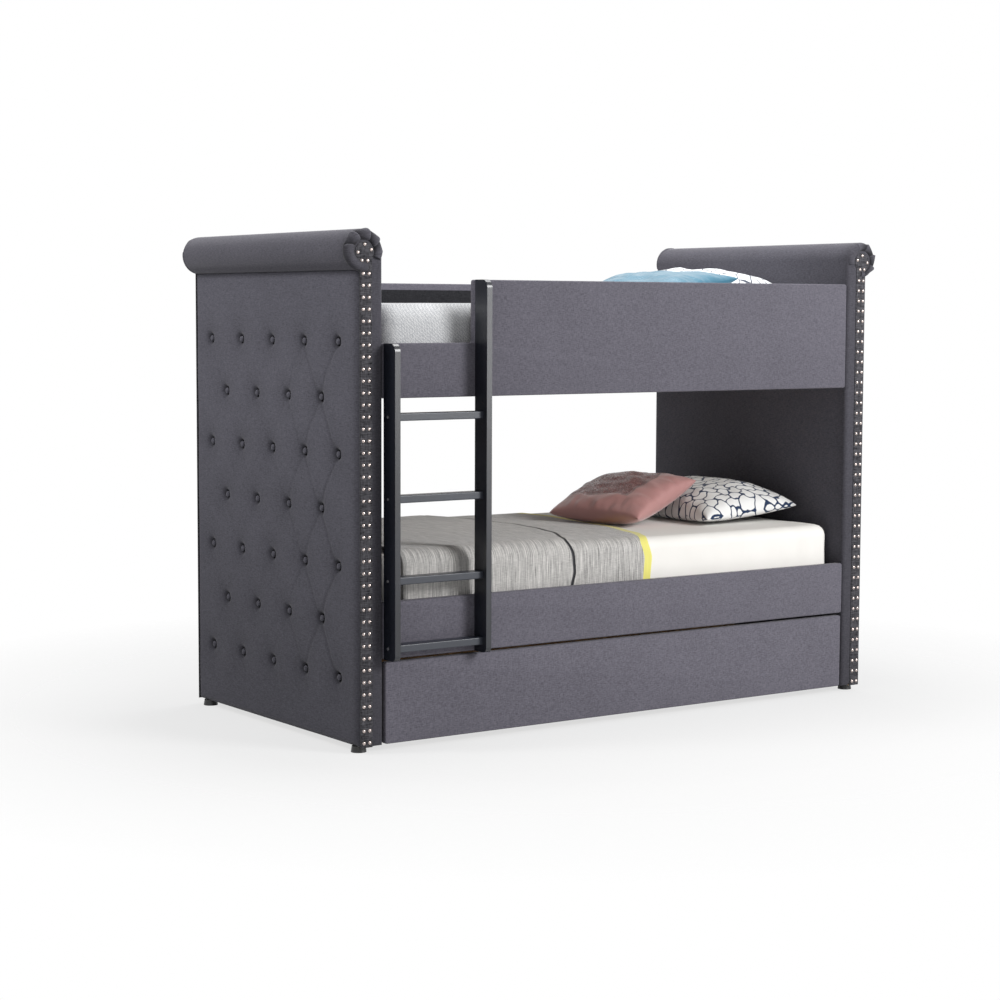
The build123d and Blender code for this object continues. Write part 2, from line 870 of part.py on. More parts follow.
caster_spots = {
    "front_left": (-caster_x, -caster_front_y),
    "front_right": (caster_x, -caster_front_y),
    "back_left": (-caster_x, caster_back_y),
    "back_right": (caster_x, caster_back_y),
}
cheek_inner = wheel_width / 2 + fork_gap
cheek_outer = cheek_inner + fork_plate
with BuildPart() as caster_forks:
    for x, y in caster_spots.values():
        with BuildSketch(Plane.XY.offset(bearer_bottom - fork_plate)):
            with Locations((x, y)):
                Rectangle(fork_plate_width, fork_plate_length)
        extrude(amount=fork_plate)
        for turn in (-1, 1):
            with BuildSketch(Plane.YZ.offset(x + turn * cheek_inner)):
                cheek_height = bearer_bottom - fork_plate - wheel_radius
                with Locations((y, wheel_radius + cheek_height / 2)):
                    Rectangle(fork_cheek_width, cheek_height)
                with Locations((y, wheel_radius)):
                    Circle(fork_cheek_width / 2)
                    Circle(axle_radius, mode=Mode.SUBTRACT)
            extrude(amount=turn * fork_plate)
save(caster_forks.part, "caster_forks")

with BuildPart() as caster_axles:
    for x, y in caster_spots.values():
        lengths = (
            (axle_radius, -cheek_outer, 2 * cheek_outer),
            (axle_head_radius, -cheek_outer, -axle_head),
            (axle_head_radius, cheek_outer, axle_head),
        )
        for radius, start, length in lengths:
            with BuildSketch(Plane.YZ.offset(x + start)):
                with Locations((y, wheel_radius)):
                    Circle(radius)
            extrude(amount=length)
save(caster_axles.part, "caster_axles")


def caster_wheel():
    """Wheel about the X axis, with a hub and a recess in each side."""
    with BuildPart() as wheel:
        with BuildSketch() as profile:
            bore = axle_radius + axle_play
            with Locations((0, (wheel_radius + bore) / 2)):
                Rectangle(wheel_width, wheel_radius - bore)
            fillet(profile.vertices().group_by(Axis.Y)[-1], wheel_tread_round)
            recess_height = wheel_radius - wheel_rim - hub_radius
            with Locations((0, hub_radius + recess_height / 2)):
                with GridLocations(wheel_width, 0, 2, 1):
                    Rectangle(2 * hub_recess, recess_height, mode=Mode.SUBTRACT)
        revolve(axis=Axis.X)
    return wheel.part


for place_name, (x, y) in caster_spots.items():
    wheel = caster_wheel().moved(Location((x, y, wheel_radius)))
    save(wheel, f"{place_name}_wheel")
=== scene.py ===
from math import atan2, cos, exp, hypot, pi, radians, sin, sqrt

import bmesh
import bpy
from mathutils import Matrix, Vector, noise


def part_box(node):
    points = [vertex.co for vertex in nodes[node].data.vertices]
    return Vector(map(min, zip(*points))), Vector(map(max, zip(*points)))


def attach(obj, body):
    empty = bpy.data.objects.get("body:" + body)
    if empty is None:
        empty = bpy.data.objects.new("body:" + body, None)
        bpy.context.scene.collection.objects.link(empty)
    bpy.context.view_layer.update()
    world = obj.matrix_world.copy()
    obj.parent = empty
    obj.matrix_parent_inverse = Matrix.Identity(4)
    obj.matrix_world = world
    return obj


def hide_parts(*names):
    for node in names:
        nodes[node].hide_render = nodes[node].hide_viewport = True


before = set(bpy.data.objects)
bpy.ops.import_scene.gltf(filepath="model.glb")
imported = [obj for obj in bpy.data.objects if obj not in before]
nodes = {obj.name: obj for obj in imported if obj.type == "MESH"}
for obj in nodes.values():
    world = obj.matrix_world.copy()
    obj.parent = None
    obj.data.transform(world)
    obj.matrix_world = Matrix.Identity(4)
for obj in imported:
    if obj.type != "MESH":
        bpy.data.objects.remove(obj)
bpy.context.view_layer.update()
scene = bpy.context.scene
scene.view_settings.view_transform = "Standard"

# The ends, read from the frame
strip_low, strip_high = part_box("right_front_facing")
pad_low, pad_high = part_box("right_inner_pad")
tuft_low, tuft_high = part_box("right_tufted_outer_pad")
foot_low, foot_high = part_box("right_feet")
front_y = strip_low.y
rear_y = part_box("right_rear_facing")[1].y
middle_y = (front_y + rear_y) / 2
outer_x = tuft_high.x
inner_x = pad_low.x
strip_x = (foot_low.x + foot_high.x) / 2
strip_half = outer_x - strip_x
facing_thickness = strip_high.y - strip_low.y
foot_height = pad_low.z

# Scroll sizes, as in the solids
scroll_radius = 0.064
scroll_reach = 0.072
head_radius = 0.035
scroll_x = pad_high.x - scroll_radius
scroll_z = pad_high.z - scroll_radius
head_x = scroll_x - 0.004
head_z = scroll_z - 0.009
band_half = (rear_y - front_y) / 2 - 0.0025
SIDES = {"left": -1, "right": 1}


class Value:
    """A shader socket that adds and multiplies like a number."""

    def __init__(self, finish, socket):
        self.finish = finish
        self.socket = socket

    def maths(self, operation, *values):
        return self.finish.maths(operation, *values)

    def __add__(self, other):
        return self.maths("ADD", self, other)

    __radd__ = __add__

    def __mul__(self, other):
        return self.maths("MULTIPLY", self, other)

    __rmul__ = __mul__

    def __sub__(self, other):
        return self.maths("SUBTRACT", self, other)

    def __rsub__(self, other):
        return self.maths("SUBTRACT", other, self)


class Finish:
    """One material, its nodes made by one method."""

    def __init__(self, name, **surface):
        self.material = bpy.data.materials.new(name)
        self.material.use_nodes = True
        self.tree = self.material.node_tree
        self.surface = self.tree.nodes["Principled BSDF"]
        self.place = self.node("ShaderNodeTexCoord")
        for socket, value in surface.items():
            self.set(socket.replace("_", " "), value)

    def node(self, kind, settings=None, **values):
        made = self.tree.nodes.new(kind)
        for name, setting in (settings or {}).items():
            setattr(made, name, setting)
        for name, value in values.items():
            self.feed(made.inputs[name.replace("_", " ")], value)
        return made

    def feed(self, socket, value):
        if isinstance(value, Value):
            self.tree.links.new(value.socket, socket)
        else:
            socket.default_value = value

    def out(self, made, name):
        return Value(self, made.outputs[name])

    def set(self, socket, value):
        if isinstance(value, tuple) and len(value) == 3:
            value = (*value, 1)
        self.feed(self.surface.inputs[socket], value)

    def maths(self, operation, *values):
        made = self.node("ShaderNodeMath", {"operation": operation})
        for socket, value in zip(made.inputs, values):
            self.feed(socket, value)
        return self.out(made, "Value")

    def coordinates(self, scale, source="Object", turn=(0, 0, 0)):
        mapping = self.node("ShaderNodeMapping", Scale=scale, Rotation=turn)
        self.tree.links.new(self.place.outputs[source], mapping.inputs["Vector"])
        return self.out(mapping, "Vector")

    def axis(self, letter, source="Object"):
        """One coordinate on its own."""
        parts = self.node("ShaderNodeSeparateXYZ")
        self.tree.links.new(self.place.outputs[source], parts.inputs[0])
        return self.out(parts, letter)

    def noise(self, scale, detail=2, roughness=0.5, source="Object", distortion=0.0):
        made = self.node(
            "ShaderNodeTexNoise",
            Vector=self.coordinates(scale, source),
            Scale=1.0,
            Detail=detail,
            Roughness=roughness,
            Distortion=distortion,
        )
        return self.out(made, "Fac")

    def voronoi(self, vector, feature="F1", randomness=1.0):
        made = self.node(
            "ShaderNodeTexVoronoi",
            {"feature": feature},
            Vector=vector,
            Scale=1.0,
            Randomness=randomness,
        )
        return self.out(made, "Distance")

    def steps(self, value, *stops):
        made = self.node("ShaderNodeMapRange")
        for name, number in zip(("From Min", "From Max", "To Min", "To Max"), stops):
            made.inputs[name].default_value = number
        self.feed(made.inputs["Value"], value)
        return self.out(made, "Result")

    def mix(self, share, first, second):
        made = self.node("ShaderNodeMix", {"data_type": "RGBA"})
        self.feed(made.inputs[0], share)
        for socket, colour in ((made.inputs[6], first), (made.inputs[7], second)):
            self.feed(socket, (*colour, 1) if isinstance(colour, tuple) else colour)
        return Value(self, made.outputs[2])

    def bump(self, height, strength, distance):
        made = self.node("ShaderNodeBump", Height=height)
        made.inputs["Strength"].default_value = strength
        made.inputs["Distance"].default_value = distance
        self.set("Normal", self.out(made, "Normal"))


def woven(
    name, dark, light, thread=700.0, low_shade=1.0, edge_shade=1.0, creased=False
):
    """Heathered plain weave, with painted shade low down, by the front rim and in its
    creases.
    """
    cloth = Finish(name, Roughness=0.9, Specular_IOR_Level=0.2)
    along = thread / 9
    weft = cloth.noise((along, along, thread), 3, 0.55)
    warp = cloth.noise((thread, thread, along), 2, 0.5)
    slub = cloth.noise((75, 75, 330), 2, 0.5)
    rise = cloth.noise((330, 330, 75), 2, 0.5)
    broad = cloth.noise((4, 4, 4), 2)
    yarn = weft * 0.62 + warp * 0.38
    heather = yarn * 0.66 + slub * 0.19 + rise * 0.15
    share = cloth.steps(heather, 0.38, 0.62, 0.0, 1.0)
    colour = cloth.mix(share, dark, light)
    shade = cloth.steps(broad, 0.3, 0.7, 0.96, 1.04)
    # Painted shade, darker towards the floor
    if low_shade < 1:
        shade = shade * cloth.steps(cloth.axis("Z"), 0.15, 1.15, low_shade, 1.0)
    # Painted shade, darker towards the front rim
    if edge_shade < 1:
        rim = cloth.steps(cloth.axis("Y"), front_y, front_y + 0.09, 1.0, 0.0)
        shade = shade * (1.0 - rim * rim * (1.0 - edge_shade))
    # Painted shade in the creases, from the tone each piece writes into its UV map
    if creased:
        shade = shade * cloth.steps(cloth.axis("X", "UV"), 0.0, 1.0, 0.2, 1.0)
    toned = cloth.node("ShaderNodeVectorMath", {"operation": "SCALE"})
    cloth.feed(toned.inputs[0], colour)
    cloth.feed(toned.inputs["Scale"], shade)
    cloth.set("Base Color", cloth.out(toned, "Vector"))
    cloth.set("Sheen Weight", 0.15)
    cloth.set("Sheen Roughness", 0.4)
    cloth.bump(yarn, 0.35, 0.0005)
    return cloth.material


def lacquer(name, colour, roughness):
    """Black paint with a bluish cast that shows in faint brush marks."""
    bluish = (0.022, 0.029, 0.046)
    paint = Finish(name, Roughness=roughness, Specular_IOR_Level=0.5)
    grain = paint.noise((14, 14, 3), 4, 0.6)
    fine = paint.noise((400, 400, 60), 2)
    brushed = paint.steps(grain, 0.3, 0.7, 0.0, 0.3)
    paint.set("Base Color", paint.mix(brushed, colour, bluish))
    paint.set("Roughness", roughness + (fine - 0.5) * 0.12)
    paint.set("Coat Weight", 0.35)
    paint.set("Coat Roughness", 0.26)
    paint.bump(fine, 0.12, 0.0003)
    return paint.material


def metal(name, colour, roughness):
    """Bare or plated metal, dulled in small patches."""
    steel = Finish(name, Metallic=1.0, Base_Color=colour)
    wear = steel.noise((220, 220, 220), 3, 0.6)
    dulled = tuple(c * 0.7 for c in colour)
    steel.set("Base Color", steel.mix(wear * 0.35, colour, dulled))
    steel.set("Roughness", roughness + (wear - 0.5) * 0.18)
    return steel.material


def plastic(name, colour, roughness):
    """Moulded plastic with a fine grain and pale scuffs."""
    shell = Finish(name, Base_Color=colour)
    grain = shell.noise((900, 900, 900), 2)
    scuff = shell.noise((30, 30, 30), 4, 0.7)
    scuffed = tuple(c * 1.8 + 0.01 for c in colour)
    shell.set("Base Color", shell.mix(scuff * 0.3, colour, scuffed))
    shell.set("Roughness", roughness + (scuff - 0.5) * 0.2)
    shell.bump(grain, 0.2, 0.0002)
    return shell.material


def timber(name, pale, brown):
    """Softwood with its grain along X or Y, whichever way a board runs."""
    board = Finish(name, Roughness=0.6, Specular_IOR_Level=0.35)
    long_x = board.noise((3, 55, 55), 5, 0.62, distortion=0.6)
    long_y = board.noise((55, 3, 55), 5, 0.62, distortion=0.6)
    fine = board.noise((120, 120, 700), 3)
    grain = board.steps(long_x * 0.5 + long_y * 0.5, 0.36, 0.64, 0.0, 1.0)
    colour = board.mix(grain, pale, brown)
    board.set("Base Color", board.mix(fine * 0.25, colour, brown))
    board.bump(grain + fine * 0.3, 0.25, 0.0005)
    return board.material


def knitted(name, pale, shade):
    """Quilted knit ticking with small raised stitches in slanting rows."""
    cloth = Finish(name, Roughness=0.9, Specular_IOR_Level=0.2)
    place = cloth.coordinates((185, 185, 185), turn=(0.3, 0.5, radians(40)))
    stitch = cloth.voronoi(place, randomness=0.45)
    ribs = cloth.node(
        "ShaderNodeTexWave",
        {"bands_direction": "X"},
        Vector=cloth.coordinates((1, 1, 1), turn=(0, 0.9, 0.6)),
        Scale=44.0,
    )
    rows = cloth.out(ribs, "Fac")
    fine = cloth.noise((1200, 1200, 1200), 2)
    tone = cloth.steps(stitch + rows * 0.25, 0.1, 0.9, 0.0, 1.0)
    cloth.set("Base Color", cloth.mix(tone, pale, shade))
    cloth.set("Sheen Weight", 0.2)
    cloth.bump(fine * 0.3 - stitch, 0.6, 0.0012)
    return cloth.material


def cotton(name, colour, shade):
    """Plain fine cotton, a little uneven in tone."""
    cloth = Finish(name, Roughness=0.88, Specular_IOR_Level=0.2)
    threads = cloth.noise((1400, 1400, 1400), 2)
    soft = cloth.noise((9, 9, 9), 3)
    uneven = cloth.steps(soft, 0.3, 0.7, 0.0, 0.35)
    cloth.set("Base Color", cloth.mix(uneven, colour, shade))
    cloth.set("Sheen Weight", 0.15)
    cloth.bump(threads, 0.3, 0.0004)
    return cloth.material


def streaked(name, pale, dark, band, start, end):
    """Blanket: fine uneven streaks across the bed, and a band beside the free edge, a
    woven stripe on the spread and painted shadow in the fold's groove.
    """
    cloth = Finish(name, Roughness=0.92, Specular_IOR_Level=0.15)
    thin = cloth.noise((900, 16, 16), 2, 0.6)
    wide = cloth.noise((330, 7, 7), 3, 0.7)
    cross = cloth.noise((60, 700, 700), 2, 0.5)
    tone = cloth.steps(thin * 0.5 + wide * 0.35 + cross * 0.15, 0.39, 0.61, 0.0, 1.0)
    colour = cloth.mix(tone, dark, pale)
    away = cloth.axis("X", "UV")
    past_start = cloth.maths("GREATER_THAN", away, start)
    inside = cloth.maths("LESS_THAN", away, end) * past_start
    # The band colour is a real stripe on the spread and painted shadow on the fold
    stripe_and_shade_band = cloth.mix(thin, band, tuple(c * 0.8 for c in band))
    colour = cloth.mix(inside, colour, stripe_and_shade_band)
    cloth.set("Base Color", colour)
    cloth.set("Sheen Weight", 0.3)
    cloth.bump(thin + cross * 0.7, 0.45, 0.0006)
    return cloth.material


def satin(name, deep, bright, plain, borders, painted_glints):
    """Shiny cloth: embossed in curls and facets, with painted sparkle highlights, and
    smooth along two borders.
    """
    cloth = Finish(name, Specular_IOR_Level=0.6)
    folds = cloth.noise((7, 7, 7), 3, 0.5, "UV", 0.4)
    curls = cloth.noise((42, 42, 42), 3, 0.6, "UV", 3.2)
    facets = cloth.voronoi(cloth.coordinates((130, 130, 130), "UV"))
    ridges = cloth.maths("ABSOLUTE", curls - 0.5) * 7.0
    relief = cloth.steps(ridges * 0.7 + facets * 0.8, 0.25, 0.85, 0.0, 1.0)
    blur = 0.007
    worked = 1.0
    for letter, border in zip("XY", borders):
        wander = cloth.axis(letter, "UV") + (folds - 0.5) * 0.06
        worked = cloth.steps(wander, border - blur, border + blur, 0.0, 1.0) * worked
    embossed = cloth.mix(relief, bright, deep)
    # Painted highlights: pale sparkles over the embossed cloth, where the crush noise
    # runs high
    crush = cloth.noise((95, 95, 95), 3, 0.7, "UV", 1.5)
    painted_glint = cloth.steps(crush - relief * 0.25, 0.50, 0.60, 0.0, painted_glints)
    lit = tuple(min(1.0, c * 1.5 + 0.12) for c in plain)
    embossed = cloth.mix(painted_glint, embossed, lit)
    cloth.set("Base Color", cloth.mix(worked, plain, embossed))
    cloth.set("Roughness", 0.44 - worked * 0.18 + (folds - 0.5) * 0.2)
    cloth.set("Sheen Weight", 0.3)
    cloth.bump(relief * worked * -1.0 + folds * 0.4, 1.0, 0.009)
    return cloth.material


def cell_edge(cloth, across, along):
    """Distance to the edge of the nearest six-sided cell, with its corners rounded."""
    root = sqrt(3)
    near = []
    for shift in (0.0, 0.5):
        x = cloth.maths("FLOORED_MODULO", across + shift, 1.0) - 0.5
        y = cloth.maths("FLOORED_MODULO", along + shift * root, root) - root / 2
        near.append((x, y, x * x + y * y))
    first, second = near
    pick = cloth.maths("LESS_THAN", first[2], second[2])
    x, y = (
        cloth.maths("ABSOLUTE", first[k] * pick + second[k] * (1.0 - pick))
        for k in (0, 1)
    )
    reach = cloth.maths("MAXIMUM", x * 0.5 + y * (root / 2), x)
    radius = cloth.maths("SQRT", x * x + y * y)
    return 0.5 - reach - cloth.steps(radius, 0.44, 0.58, 0.0, 0.055)


def celled(name, ground, pebble, size, gap):
    """Printed cotton: rounded pale cells, drawn unevenly, on a dark ground."""
    cloth = Finish(name, Roughness=0.8, Specular_IOR_Level=0.25)
    sway = cloth.noise((17, 17, 1), 1, source="UV")
    drift = cloth.noise((19, 13, 4), 1, source="UV")
    across = cloth.axis("X", "UV") * (1 / size[0]) + (sway - 0.5) * 1.5
    along = cloth.axis("Y", "UV") * (1 / size[1]) + (drift - 0.5) * 1.5
    edge = cell_edge(cloth, across, along)
    inside = cloth.steps(edge, gap, gap + 0.03, 0.0, 1.0)
    cloth.set("Base Color", cloth.mix(inside, ground, pebble))
    cloth.set("Sheen Weight", 0.15)
    cloth.bump(cloth.noise((1500, 1500, 1500), 2, source="UV"), 0.3, 0.0004)
    return cloth.material


def scribbled(name, ground, line, scale, gap, soften):
    """Printed cotton: thin dark lines wandering over a pale ground."""
    cloth = Finish(name, Roughness=0.8, Specular_IOR_Level=0.25)
    place = cloth.coordinates((scale, scale * 0.74, scale), "UV", (0, 0, radians(28)))
    edge = cloth.voronoi(place, "DISTANCE_TO_EDGE", randomness=0.8)
    inside = cloth.steps(edge, gap, gap + soften, 0.0, 1.0)
    cloth.set("Base Color", cloth.mix(inside, line, ground))
    cloth.set("Sheen Weight", 0.15)
    cloth.bump(cloth.noise((1500, 1500, 1500), 2, source="UV"), 0.3, 0.0004)
    return cloth.material


grey_cloth = woven("grey_cloth", (0.078, 0.074, 0.092), (0.165, 0.157, 0.188))
# Painted shade: end, fold, face and button cloth are darker copies of the board cloth.
# End, face, button and strip cloth also darken towards the floor, end and face cloth by
# the front rim, and fold and face cloth in their creases.
end_cloth = woven(
    "end_cloth",
    (0.066, 0.064, 0.078),
    (0.132, 0.127, 0.152),
    low_shade=0.72,
    edge_shade=0.66,
)
fold_cloth = woven(
    "fold_cloth", (0.070, 0.068, 0.082), (0.140, 0.135, 0.160), creased=True
)
FACE = ((0.074, 0.072, 0.089), (0.150, 0.146, 0.178))
face_cloth = woven("face_cloth", *FACE, low_shade=0.66, edge_shade=0.55, creased=True)
button_cloth = woven("button_cloth", *FACE, low_shade=0.7)
strip_cloth = woven(
    "strip_cloth",
    (0.008, 0.008, 0.010),
    (0.115, 0.112, 0.125),
    thread=300.0,
    low_shade=0.8,
)
black_cloth = woven("black_cloth", (0.008, 0.008, 0.01), (0.03, 0.03, 0.034))
black_lacquer = lacquer("black_lacquer", (0.004, 0.005, 0.009), 0.3)
rung_lacquer = lacquer("rung_lacquer", (0.016, 0.020, 0.030), 0.42)
nickel = metal("nickel", (0.50, 0.43, 0.405), 0.2)
zinc = metal("zinc", (0.62, 0.62, 0.64), 0.38)
black_steel = plastic("black_steel", (0.02, 0.02, 0.022), 0.45)
black_plastic = plastic("black_plastic", (0.012, 0.012, 0.013), 0.4)
wheel_plastic = plastic("wheel_plastic", (0.03, 0.03, 0.032), 0.5)
softwood = timber("softwood", (0.66, 0.50, 0.32), (0.46, 0.30, 0.16))
ticking = knitted("ticking", (0.80, 0.80, 0.80), (0.42, 0.43, 0.45))
white_cotton = cotton("white_cotton", (0.84, 0.82, 0.785), (0.76, 0.74, 0.70))
WOOL = ((0.70, 0.68, 0.655), (0.17, 0.167, 0.163))
blanket_wool = streaked(
    "blanket_wool", *WOOL, band=(0.86, 0.80, 0.22), start=-1.0, end=0.035
)
# The fold's dark band is painted shadow in the groove beside its free edge
fold_wool = streaked(
    "fold_wool", *WOOL, band=(0.045, 0.045, 0.05), start=0.011, end=0.023
)
rose_satin = satin(
    "rose_satin",
    deep=(0.17, 0.020, 0.018),
    bright=(0.56, 0.20, 0.18),
    plain=(0.44, 0.22, 0.21),
    borders=(-0.105, -0.095),
    painted_glints=0.8,
)
blue_satin = satin(
    "blue_satin",
    deep=(0.012, 0.10, 0.16),
    bright=(0.055, 0.25, 0.36),
    plain=(0.022, 0.155, 0.245),
    borders=(0.15, 0.15),
    painted_glints=0.1,
)
pebble_print = celled(
    "pebble_print",
    ground=(0.012, 0.03, 0.08),
    pebble=(0.84, 0.84, 0.83),
    size=(0.056, 0.046),
    gap=0.042,
)
sparse_print = scribbled(
    "sparse_print",
    ground=(0.88, 0.90, 0.92),
    line=(0.06, 0.07, 0.10),
    scale=17,
    gap=0.015,
    soften=0.025,
)


def make_piece(mesh_edit, name, body, slot, finish, *stands_for):
    """Turns a bmesh into a smooth, finished piece that rides on a body."""
    mesh = bpy.data.meshes.new(name)
    mesh_edit.to_mesh(mesh)
    mesh_edit.free()
    for face in mesh.polygons:
        face.use_smooth = True
    mesh.materials.append(finish)
    piece = bpy.data.objects.new(name, mesh)
    scene.collection.objects.link(piece)
    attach(piece, body)
    if stands_for:
        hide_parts(*stands_for)
    return piece


def modify(piece, kind, **settings):
    modifier = piece.modifiers.new(kind.lower(), kind)
    for name, value in settings.items():
        setattr(modifier, name, value)


def lay_uv(edit, layer, places):
    """Writes each vertex's place on its cloth, or its shade, into the UV map."""
    for face in edit.faces:
        for loop in face.loops:
            loop[layer].uv = places[loop.vert.index]


def plate(outline, y_front, thickness, rounding, segments=3):
    """Prism from an outline in X and Z, set back along +Y, with soft rims."""
    edit = bmesh.new()
    rim = [edit.verts.new((x, y_front, z)) for x, z in outline]
    face = edit.faces.new(rim)
    made = bmesh.ops.extrude_face_region(edit, geom=[face])
    moved = [v for v in made["geom"] if isinstance(v, bmesh.types.BMVert)]
    bmesh.ops.translate(edit, verts=moved, vec=(0, thickness, 0))
    bmesh.ops.recalc_face_normals(edit, faces=edit.faces)
    flat = [f for f in edit.faces if abs(f.normal.y) > 0.99]
    rims = {e for f in flat for e in f.edges}
    bmesh.ops.bevel(
        edit,
        geom=list(rims),
        offset=rounding,
        offset_type="OFFSET",
        segments=segments,
        profile=0.5,
        affect="EDGES",
        material=-1,
        clamp_overlap=True,
    )
    return edit


def arc(centre, radius, start, end, count):
    """Points on an arc in X and Z, angles in degrees."""
    points = []
    for k in range(count + 1):
        angle = radians(start + (end - start) * k / count)
        x, z = centre[0] + radius * cos(angle), centre[1] + radius * sin(angle)
        points.append((x, z))
    return points


def rounded_outline(corners, radius):
    """Outline whose square corners are turned into arcs."""
    steps = 4
    outline = []
    count = len(corners)
    for k, corner in enumerate(corners):
        here = Vector(corner)
        before = (Vector(corners[k - 1]) - here).normalized()
        after = (Vector(corners[(k + 1) % count]) - here).normalized()
        centre = here + (before + after) * radius
        for step in range(steps + 1):
            turn = step / steps * pi / 2
            point = centre - after * radius * cos(turn) - before * radius * sin(turn)
            outline.append((point.x, point.y))
    return outline


def set_finish(finish, *names, bevel=0):
    """Gives CAD nodes their finish and takes the sharpness off their edges."""
    for name in names:
        node = nodes[name]
        node.data.materials.clear()
        node.data.materials.append(finish)
        if bevel:
            modify(
                node,
                "BEVEL",
                width=bevel,
                segments=2,
                limit_method="ANGLE",
                angle_limit=radians(50),
            )


# Scroll ends


def scroll_outline(side):
    """Inner face, roll over the top and the way back down behind the strip."""
    points = [(inner_x, foot_height), (inner_x, scroll_z - scroll_radius / 2)]
    for k in range(13):
        turn = pi - k / 12 * pi / 2
        reach = scroll_reach * cos(turn)
        points.append((scroll_x + reach, scroll_z + scroll_radius * sin(turn)))
    points += arc((scroll_x, scroll_z), scroll_radius, 85, -90, 22)
    behind_strip = strip_x - strip_half + 0.016
    points += [(behind_strip, scroll_z - scroll_radius), (behind_strip, foot_height)]
    return [(side * x, z) for x, z in points]


def scroll_pad(name, side):
    """Inner pad and its roll, with the soft rims that show beside the strips."""
    rim = 0.026
    start = middle_y - band_half
    edit = plate(scroll_outline(side), start, 2 * band_half, rim, 7)
    for vert in edit.verts:
        if vert.co.z < scroll_z - scroll_radius * 1.2:
            sag = 0.0012 * noise.noise(Vector((vert.co.y * 5, vert.co.z * 5, side * 4)))
            vert.co.x -= side * max(0.0, sag)
    piece = make_piece(
        edit, f"{name}_scroll_pad", "bed", "upholstery", end_cloth, f"{name}_inner_pad"
    )


def facing_outline(side):
    """Straight strip that ends in the round scroll head."""
    left, right = strip_x - strip_half, strip_x + strip_half
    start = atan2(-sqrt(head_radius**2 - (right - head_x) ** 2), right - head_x)
    end = pi - atan2(-sqrt(head_radius**2 - (left - head_x) ** 2), head_x - left)
    head = []
    for k in range(25):
        angle = start + (end - start) * k / 24
        x, z = head_x + head_radius * cos(angle), head_z + head_radius * sin(angle)
        head.append((x, z))
    points = [(left, foot_height), (right, foot_height)] + head
    return [(side * x, z) for x, z in points]


def facing(name, side, front):
    """Strip with its round head, on the front or the back edge of an end."""
    y = front_y if front > 0 else rear_y - facing_thickness
    edit = plate(facing_outline(side), y, facing_thickness, 0.0022)
    where = "front" if front > 0 else "rear"
    make_piece(
        edit,
        f"{name}_{where}_strip",
        "bed",
        "upholstery",
        strip_cloth,
        f"{name}_{where}_facing",
    )


# Angles of the creases round each scroll, from the outer side over the top
CREASES = {"left": (8, 54, 104, 146, 186), "right": (-92, -32, 16, 64, 112)}
PLEAT_SPAN = {"left": (-100, 208), "right": (-100, 196)}


def fold_shape(angle, creases):
    """Height of the fold at an angle, and how far its rim falls inside the round."""
    step = 0.07
    for first, last in zip(creases, creases[1:]):
        if first <= angle <= last:
            share = (angle - first) / (last - first)
            half = radians(last - first) / 2
            dip = 1 - cos(half) / cos(half * (2 * share - 1))
            drop = 1 - share / step
            height = drop if drop > 0 else (share - step) / (1 - step)
            return height, dip
    return 0.7, 0.0


def pleated_end(name, side, front):
    """Cloth gathered round the scroll head in broad overlapping folds."""
    creases = CREASES[name]
    depth = 1.0 if front > 0 else 0.35
    first, last = PLEAT_SPAN[name]
    inner_turn, outward_sweep = -40, 222
    edit = bmesh.new()
    layer = edit.loops.layers.uv.new("UVMap")
    bmesh.ops.create_grid(edit, x_segments=300, y_segments=30, size=0.5)
    shade = {}
    bulge, fold_rise, slant = 0.014, 0.011, 22
    y_ring = middle_y - front * (band_half - bulge * 0.5)
    for vert in edit.verts:
        along, across = vert.co.x + 0.5, vert.co.y + 0.5
        degrees = first + (last - first) * along
        height, dip = fold_shape(degrees - slant * (across - 0.3), creases)
        angle = radians(degrees)
        turn = radians(inner_turn + outward_sweep * across)
        crown = max(0.0, sin(min(pi, max(0.0, turn + 0.6))))
        rim = scroll_radius * (1 - 0.85 * depth * dip) + 0.001
        ring, tube = (rim + head_radius) / 2, (rim - head_radius) / 2
        reach = ring + tube * cos(turn)
        rise = bulge * sin(turn) + fold_rise * depth * crown * (height**0.7 - 0.7)
        # Painted shade: each front fold darkens towards its crease, in the hollow next
        # to the round head and, before the first crease, towards the outer rim. The
        # rear folds take one even shade.
        hollow = 0.6 * max(0.0, 1 - abs(across - 0.95) / 0.3)
        if degrees < creases[0]:
            hollow += 0.75 * max(0.0, 1 - across / 0.42)
        tone = max(0.0, 0.05 + 0.95 * height**1.3 - hollow) if front > 0 else 0.8
        shade[vert.index] = (tone, 0.5)
        inward = max(0.0, across - 0.25) ** 2
        wide = 1.05 if cos(angle) < 0 else 1.0
        x = scroll_x + reach * cos(angle) * wide + (head_x - scroll_x) * inward
        z = scroll_z + reach * sin(angle) + (head_z - scroll_z) * inward
        vert.co = (side * x, y_ring - front * rise, z)
    lay_uv(edit, layer, shade)
    bmesh.ops.recalc_face_normals(edit, faces=edit.faces)
    where = "front" if front > 0 else "rear"
    stands_for = [f"{name}_pleated_scroll_ends"] if front > 0 else []
    piece = make_piece(
        edit, f"{name}_{where}_pleats", "bed", "upholstery", fold_cloth, *stands_for
    )
    modify(piece, "SOLIDIFY", thickness=0.003, offset=-1)


# The cloth's depth at a button, its widths round a button, and its creases
PULL = 0.0165
HOLE_RADIUS = 0.0175
DISH_DEPTH, DISH_RADIUS = 0.0065, 0.045
CREASE_DEPTH, CREASE_HALF, CREASE_SWAY = 0.0018, 0.0055, 0.004


